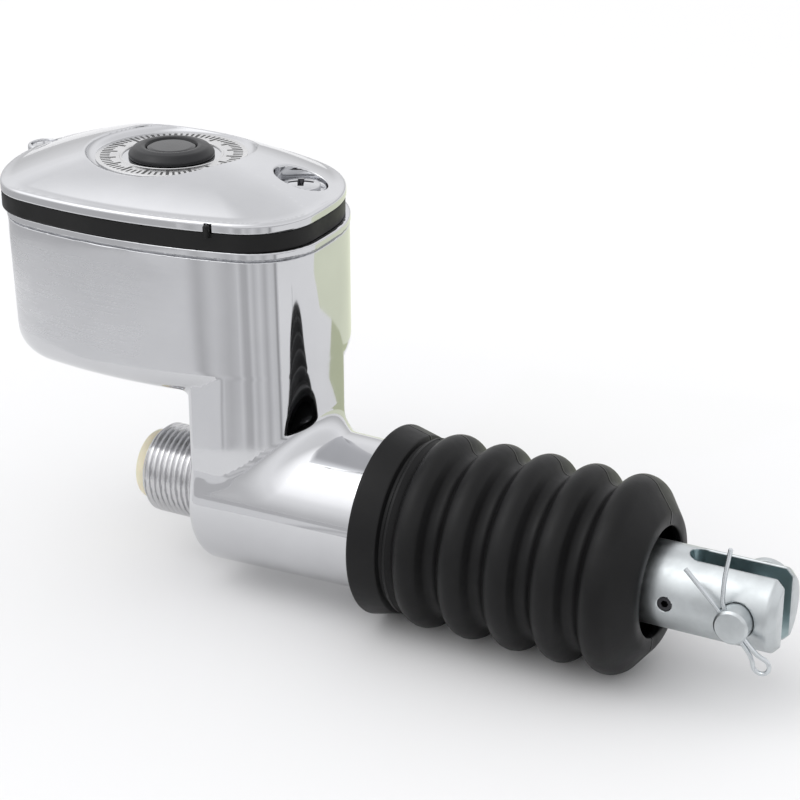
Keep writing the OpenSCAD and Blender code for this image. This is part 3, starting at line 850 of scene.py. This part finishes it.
def stud_mesh():
    """The hydraulic cartridge with the rolled thread of its mounting stud."""
    segments = 120
    angle = np.arange(segments) / segments * 2 * math.pi
    profile = []
    for x in np.arange(-18.0, -0.6, 0.11):
        chamfer = 1.3 * (1 - ramp((x + 18.0) / 1.6))
        profile.append((x, 10.98 - chamfer, 1.0))
    profile += [(-0.55, 10.2, 0), (-0.1, 10.2, 0), (0.05, 10.48, 0), (3.0, 10.48, 0)]
    profile += [(3.05, 12.9, 0), (3.2, 13.0, 0), (56.7, 13.0, 0), (57.0, 12.7, 0)]
    profile += [(57.0, 8.3, 0), (56.6, 7.94, 0), (1.0, 7.94, 0), (1.0, 1.5, 0)]
    profile += [(-6.0, 1.5, 0), (-6.0, 5.0, 0), (-17.7, 5.0, 0), (-18.0, 5.3, 0)]
    rows = []
    for x, r, threaded in profile:
        radius = np.full(segments, float(r))
        if threaded:
            phase = ((x / THREAD_PITCH) - angle / (2 * math.pi)) % 1.0
            valley = np.clip(1.1 - np.abs(phase - 0.5) * 3.2, 0, 1)
            valley = valley * valley * (3 - 2 * valley)
            fade = ramp((-0.75 - x) / 1.0)
            radius = np.minimum(radius, 10.98 - THREAD_DEPTH * valley * fade)
        rows.append(np.stack([np.full(segments, x), radius * np.cos(angle), radius * np.sin(angle)], axis=1))
    points = np.concatenate(rows)
    faces = []
    for i in range(len(rows)):
        j = (i + 1) % len(rows)
        for k in range(segments):
            m = (k + 1) % segments
            faces.append([i * segments + k, j * segments + k, j * segments + m, i * segments + m])
    return add_mesh("threaded_cartridge", points, faces, sharp_angle=40)


place(stud_mesh(), STUD, "housing", "machined_stud", "cartridge_body")
plug = lathe(
    "port_plug_cap",
    rounded(
        [
            (-21.6, 0), (-21.6, 6.9), (-20.9, 8.4), (-19.4, 8.8),
            (-18.0, 8.8), (-18.0, 4.9), (-8, 4.7), (-8, 0),
        ],
        [0, 1.2, 1.0, 1.2, 0.3, 0, 0.3, 0],
        8,
    ),
)
place(plug, CREAM, "housing", "plug_plastic", "port_plug")


# ---------------------------------------------------------------- bellows
LOBES, LOBE_FIRST, LOBE_PITCH, LOBE_R = 5, 59.6, 11.3, 22.75
CREST_R, VALLEY_R = 3.6, 2.2


def lobe_wave(wall):
    """One side of the lobes: round crests and narrower valleys, joined by tangents."""
    crest = np.array([0.0, LOBE_R - CREST_R])
    valley = np.array([LOBE_PITCH / 2, LOBE_R - 3.9 + VALLEY_R])
    gap = valley - crest
    bend = math.atan2(gap[0], gap[1]) - math.acos((CREST_R + VALLEY_R) / np.linalg.norm(gap))
    points = []
    for i in range(LOBES):
        shift = np.array([LOBE_FIRST + i * LOBE_PITCH, 0])
        first = -bend if i else -1.35
        last = bend if i < LOBES - 1 else 0
        for a in np.linspace(first, last, 17):
            points.append(shift + crest + (CREST_R - wall) * np.array([math.sin(a), math.cos(a)]))
        if i < LOBES - 1:
            for a in np.linspace(bend, -bend, 9):
                points.append(shift + valley - (VALLEY_R + wall) * np.array([math.sin(a), math.cos(a)]))
    for a in np.linspace(0.1, 0.8, 8):
        points.append(shift + [(5.2 - wall) * math.sin(a), LOBE_R - 5.2 + (5.2 - wall) * math.cos(a)])
    return [tuple(p) for p in points]


def boot_profile():
    """Outer then inner side of the bellows."""
    outer = rounded(
        [(45.5, 20.6), (45.5, 22.75), (52.2, 21.1), (52.7, 19.9), (53.5, 19.9), (54.0, 20.9), (54.9, 20.9)],
        [0.3, 1.1, 0.6, 0.3, 0.3, 0.4, 0.3],
        8,
    )
    outer += lobe_wave(0.0)
    outer += [(112.2, 16.6), (112.7, 15.9), (112.95, 15.3), (113.0, 13.1), (112.8, 12.75)]
    inner = [(112.2, 12.7), (110.2, 14.2)]
    inner += [p for p in reversed(lobe_wave(1.3)) if p[0] > 58.0]
    return outer + inner + [(57.6, 17.75), (49, 17.75)]


boot = lathe("bellows_rubber", boot_profile(), 160, sharp_angle=70)
place(boot, BOOT, None, "boot_rubber", "bellows_boot")
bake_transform(boot)


# ---------------------------------------------------------------- springs
def coil(name, x0, x1, mean_r, wire_r, turns):
    """A compression spring with closed ends."""
    path = []
    count = int(turns * 40)
    for i in range(count + 1):
        t = i / count
        spread = ramp((t - 0.5 / turns) / (1 - 1 / turns)) * 0.35 + 0.65 * t
        a = 2 * math.pi * turns * t
        x = x0 + wire_r + (x1 - x0 - 2 * wire_r) * spread
        path.append((x, mean_r * math.cos(a), mean_r * math.sin(a)))
    return sweep(name, path, wire_r, 10)


return_coil = coil("return_spring_coil", 1.0, 23.0, 5.8, 0.65, 6)
place(return_coil, SPRING, "housing", "spring_steel", "return_spring")
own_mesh(return_coil)
pedal_coil = coil("pedal_spring_coil", 57.0, 103.4, 13.6, 1.0, 7)
place(pedal_coil, SPRING, None, "spring_steel", "pedal_return_spring")
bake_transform(pedal_coil)

# ---------------------------------------------------------------- clevis, pin and cotter
clevis = surface_net(
    "clevis_fork",
    clevis_field,
    steps((97.4, 120, 0.5), (120, 142.8, 0.36)),
    steps((-10.2, 10.2, 0.4)),
    steps((-10.2, 10.2, 0.4)),
    relax=1,
)
place(clevis, CLEVIS, "push_rod_set", "zinc_plate", "clevis")
pin = lathe(
    "clevis_pin_body",
    rounded(
        [
            (-13.0, 0), (-13.0, 3.4), (-12.45, 3.95), (9.6, 3.95),
            (9.6, PIN_HEAD), (11.6, PIN_HEAD), (12.1, 3), (12.2, 0),
        ],
        [0, 0.2, 0.3, 0.1, 0.2, 0.8, 0.5, 0],
        6,
    ),
    96,
    axis="y",
    centre=(PIN_X, 0, 0),
)
place(pin, ZINC, "pin_set", "zinc_plate", "clevis_pin")


def cotter():
    """The split pin: an eye below the clevis pin and two legs bent apart above it."""
    lean = math.radians(41)
    y = -11.3
    along = np.array([-math.sin(lean), math.cos(lean)])
    side = np.array([math.cos(lean), math.sin(lean)])
    pin_at = np.array([PIN_X, 0.0])
    eye = pin_at - 10.6 * along
    loop = []
    for k in range(29):
        a = -2.6 * (2 * k / 28 - 1) + math.pi
        loop.append(eye + 1.9 * (math.cos(a) * along + math.sin(a) * side))
    neck = pin_at - 8.3 * along
    leg_a = [np.array([122.4, 10.8]), pin_at + 4.4 * along - 0.5 * side, neck - 0.5 * side]
    leg_b = [neck + 0.5 * side, pin_at + 4.4 * along + 0.5 * side]
    leg_b += [np.array([131.2, 10.5]), np.array([132.2, 17.8])]
    if (loop[0] - eye) @ side > 0:
        loop.reverse()
    flat = []
    for a, b in zip(leg_a[:-1], leg_a[1:]):
        flat += [a + (b - a) * t for t in np.arange(0, 1, 0.1)]
    flat += [leg_a[-1]] + loop
    for a, b in zip(leg_b[:-1], leg_b[1:]):
        flat += [a + (b - a) * t for t in np.arange(0, 1, 0.1)]
    flat = np.array(flat + [leg_b[-1]])
    for _ in range(6):
        flat[1:-1] = (flat[:-2] + 2 * flat[1:-1] + flat[2:]) / 4
    return sweep("cotter_wire", [(p[0], y, p[1]) for p in flat], 0.5, 12)


place(cotter(), WIRE, "pin_set", "zinc_plate", "cotter_pin")

# ---------------------------------------------------------------- kept CAD nodes
KEPT = {
    "cartridge_o_rings": SEAL,
    "spring_retainer": BRASS,
    "primary_cup": SEAL,
    "piston": STUD,
    "secondary_cup": SEAL,
    "stop_washer": ZINC,
    "snap_ring": DARK_STEEL,
    "rod_wiper": SEAL,
    "push_rod": ZINC,
    "jam_nut": ZINC,
    "spring_seat": ZINC,
    "seat_ring": DARK_STEEL,
    "set_screw": DARK_STEEL,
}
for name, material in KEPT.items():
    nodes[name].data.materials.clear()
    nodes[name].data.materials.append(material)


# ---------------------------------------------------------------- studio
def emission(name, color, strength):
    """A material that only glows."""
    made = bpy.data.materials.new(name)
    made.use_nodes = True
    tree = made.node_tree
    tree.nodes.clear()
    glow = tree.nodes.new("ShaderNodeEmission")
    glow.inputs["Color"].default_value = (*color, 1)
    glow.inputs["Strength"].default_value = strength
    out = tree.nodes.new("ShaderNodeOutputMaterial")
    tree.links.new(glow.outputs["Emission"], out.inputs["Surface"])
    return made


FLOOR_Z = -22.9
FLOOR_NEAR, FLOOR_FAR = (0.84, 0.84, 0.84), (0.56, 0.56, 0.57)
floor_material, floor_tree, floor_bsdf = shader("studio_floor", FLOOR_NEAR, 0.0, 0.9)
half = 3000
floor = add_mesh(
    "studio_floor",
    [(-half, -half, FLOOR_Z), (half, -half, FLOOR_Z), (half, half, FLOOR_Z), (-half, half, FLOOR_Z)],
    [(0, 1, 2, 3)],
)
floor.data.materials.append(floor_material)


def smooth_range(tree, value, low, high, start, end):
    """As remap, with soft ends."""
    made = tree.nodes.new("ShaderNodeMapRange")
    made.interpolation_type = "SMOOTHSTEP"
    for socket, number in zip(("From Min", "From Max", "To Min", "To Max"), (start, end, low, high)):
        made.inputs[socket].default_value = number
    tree.links.new(value, made.inputs["Value"])
    return made.outputs["Result"]


# Painted shade: the floor's colour darkens from FLOOR_NEAR to FLOOR_FAR between 150 and 260 mm out towards
# azimuth 14 degrees.
floor_place = floor_tree.nodes.new("ShaderNodeTexCoord")
ahead = along_direction(floor_tree, floor_place.outputs["Object"], 14, 0)
shade = smooth_range(floor_tree, ahead, 0, 1, 0.15, 0.26)
floor_tree.links.new(tint(floor_tree, shade, FLOOR_NEAR, FLOOR_FAR), floor_bsdf.inputs["Base Color"])

world = bpy.data.worlds.new("studio")
bpy.context.scene.world = world
world.use_nodes = True
sky = world.node_tree
background = sky.nodes["Background"]
direction = sky.nodes.new("ShaderNodeTexCoord")
bands = sky.nodes.new("ShaderNodeValToRGB")
upward = along_direction(sky, direction.outputs["Generated"], 0, 90)
sky.links.new(remap(sky, upward, 0, 1, -0.2, 1.0), bands.inputs["Fac"])
# Brightness of the sky: (sine of the elevation, level).
SKY_BANDS = (
    (-0.2, 0.62), (0.05, 0.70), (0.14, 0.82), (0.29, 1.04),
    (0.45, 1.12), (0.7, 0.98), (1.0, 0.92),
)
while len(bands.color_ramp.elements) < len(SKY_BANDS):
    bands.color_ramp.elements.new(0.5)
for stop, (rise, level) in zip(bands.color_ramp.elements, SKY_BANDS):
    stop.position = (rise + 0.2) / 1.2
    stop.color = (level, level, level * 1.015, 1)
lamp = along_direction(sky, direction.outputs["Generated"], -52, 58)
glow = smooth_range(sky, lamp, 0, 0.70, 0.70, 0.98)
lit = sky.nodes.new("ShaderNodeMix")
lit.data_type = "RGBA"
lit.blend_type = "ADD"
lit.inputs["Factor"].default_value = 1
sky.links.new(bands.outputs["Color"], lit.inputs["A"])
sky.links.new(glow, lit.inputs["B"])
sky.links.new(lit.outputs["Result"], background.inputs["Color"])
background.inputs["Strength"].default_value = 1.0


def reflection_sheet(name, corners, color, strength, lift=0.4):
    """A glowing sheet close above the floor, hidden from the camera, that shows in what reflects it: a
    painted reflection.
    """
    sheet = add_mesh(name, [(x, y, FLOOR_Z + lift) for x, y in corners], [range(len(corners))])
    sheet.data.materials.append(emission(name, color, strength))
    sheet.visible_camera = False
    sheet.visible_diffuse = False
    sheet.visible_shadow = False


def around_pillar(azimuth, distance):
    """A floor point seen from the pillar at an azimuth in degrees."""
    a = math.radians(azimuth)
    return 12 + distance * math.sin(a), -distance * math.cos(a)


# Painted reflections: the green sheet stands for a pale green thing behind the part, and the olive sheet
# nearer the part is painted shade.
GREEN_EDGE = [(-150, 158), (40, 153), (100, 166), (160, 166), (190, 160), (260, 420), (-150, 420)]
OLIVE_EDGE = [(100, 166), (40, 153), (10, 152), (14, 90), (44, 88), (84, 120)]
reflection_sheet("green_sheet", GREEN_EDGE, (0.93, 0.97, 0.78), 0.95)
reflection_sheet("olive_sheet", OLIVE_EDGE, (0.66, 0.70, 0.50), 0.95)


def grey_sector(name, start, end, near, far, level, lift):
    """A grey glowing sheet in front of the pillar, between two azimuths and two distances: a painted
    reflection.
    """
    turns = np.linspace(start, end, max(2, int((end - start) / 6)))
    corners = [around_pillar(a, near) for a in turns] + [around_pillar(a, far) for a in turns[::-1]]
    reflection_sheet(name, corners, (level, level, level * 1.02), 1.0, lift)


grey_sector("grey_side", -60, -15.5, 105, 260, 0.88, 0.2)
grey_sector("grey_front", -16, 64, 105, 420, 0.82, 0.3)
grey_sector("grey_far", -115, -16, 262, 1500, 0.62, 0.2)
# Painted reflection: brightness of the glowing grey_front sheet on the floor in front of the pillar, streak
# by streak: (azimuth in degrees, level).
STREAKS = (
    (-16, 0.88), (-13, 0.60), (-9, 0.82), (-4, 0.64), (1, 0.84), (8, 0.60), (15, 0.58), (20, 0.82),
    (26, 0.66), (34, 0.84), (43, 0.60), (50, 0.82), (57, 0.76), (60, 0.36), (63, 0.86),
)
streak_tree = bpy.data.materials["grey_front"].node_tree
streak_place = streak_tree.nodes.new("ShaderNodeTexCoord")
streak_shift = streak_tree.nodes.new("ShaderNodeMapping")
streak_shift.inputs["Location"].default_value = (-12 * MM, 0, 0)
streak_turn = streak_tree.nodes.new("ShaderNodeTexGradient")
streak_turn.gradient_type = "RADIAL"
streak_ramp = streak_tree.nodes.new("ShaderNodeValToRGB")
while len(streak_ramp.color_ramp.elements) < len(STREAKS):
    streak_ramp.color_ramp.elements.new(0.5)
for stop, (azimuth, level) in zip(streak_ramp.color_ramp.elements, STREAKS):
    stop.position = azimuth / 360 + 0.25
    stop.color = (level, level, level * 1.02, 1)
streak_tree.links.new(streak_place.outputs["Object"], streak_shift.inputs["Vector"])
streak_tree.links.new(streak_shift.outputs["Vector"], streak_turn.inputs["Vector"])
streak_tree.links.new(streak_turn.outputs["Fac"], streak_ramp.inputs["Fac"])
streak_tree.links.new(streak_ramp.outputs["Color"], streak_tree.nodes["Emission"].inputs["Color"])


def softbox(name, at, size, power):
    """A rectangular lamp aimed at the part."""
    light = bpy.data.lights.new(name, "AREA")
    light.shape = "RECTANGLE"
    light.size, light.size_y = size
    light.energy = power
    made = bpy.data.objects.new(name, light)
    made.location = at
    aim = Vector((0.03, 0, 0.02)) - Vector(at)
    made.rotation_euler = aim.to_track_quat("-Z", "Y").to_euler()
    bpy.context.scene.collection.objects.link(made)
    return made


softbox("key_softbox", (-0.45, -0.5, 0.95), (0.6, 0.5), 1.0)
bpy.context.scene.view_settings.view_transform = "Standard"
